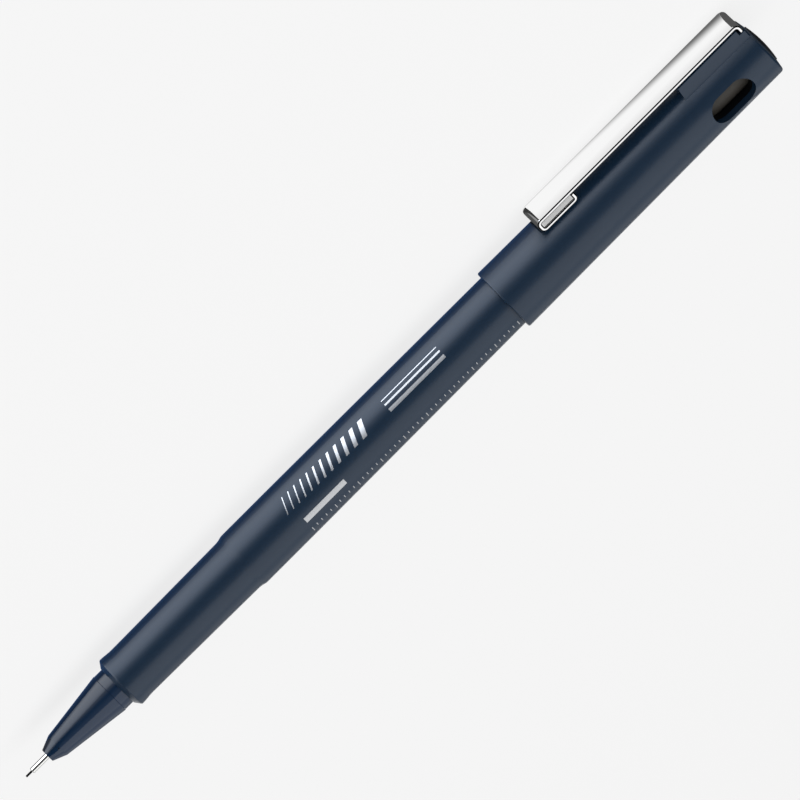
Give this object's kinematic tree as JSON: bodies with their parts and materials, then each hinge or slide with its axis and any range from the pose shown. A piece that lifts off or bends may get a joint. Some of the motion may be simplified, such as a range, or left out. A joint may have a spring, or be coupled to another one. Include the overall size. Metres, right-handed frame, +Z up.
{
  "type": "fineliner pen",
  "caption": "Fineliner pen: nib in a steel sleeve, tapered nose, stepped round barrel with ink reservoir, and a posted cap with a folded spring-steel clip and vent slots.",
  "frame": {"origin": "on the table that the cap and the clip's edge rest on, under the middle of the pen's box", "axes": "+X along the pen from the cap's end to the writing tip, +Z up, the clip turned down towards -Y"},
  "size_m": [0.1614, 0.0144, 0.0115],
  "materials": {
    "navy_satin_plastic": "satin moulded polypropylene",
    "navy_gloss_plastic": "polished moulded plastic",
    "black_plastic": "smooth moulded plastic",
    "grey_plastic": "matt moulded plastic",
    "sleeve_steel": "drawn stainless tube",
    "clip_steel": "polished spring steel",
    "nib_plastic": "extruded acetal, inked",
    "reservoir_fibre": "bonded polyester fibre, inked",
    "film": "thin clear wrap"
  },
  "bodies": {
    "barrel": {"barrel": "navy_satin_plastic", "nose_cone": "navy_gloss_plastic", "nib_sleeve": "sleeve_steel", "nib": "nib_plastic", "ink_reservoir": "reservoir_fibre", "reservoir_film": "film", "barrel_plug": "black_plastic"},
    "cap": {"cap_shell": "navy_satin_plastic", "cap_plug": "black_plastic", "inner_cap": "grey_plastic"},
    "clip": {"clip": "clip_steel"}
  },
  "joints": [
    {"name": "cap_pull", "type": "slide", "parent": "barrel", "child": "cap", "axis": [-1, 0, 0], "range_m": [0, 0.03]},
    {"name": "clip_flex", "type": "hinge", "parent": "cap", "child": "clip", "pos_m": [-0.07903, -0.00443, 0.00308], "axis": [0, 0.4144, -0.9101], "range_deg": [0, 3], "stiffness_Nm_per_rad": 0.8, "springref_deg": -1.15}
  ]
}
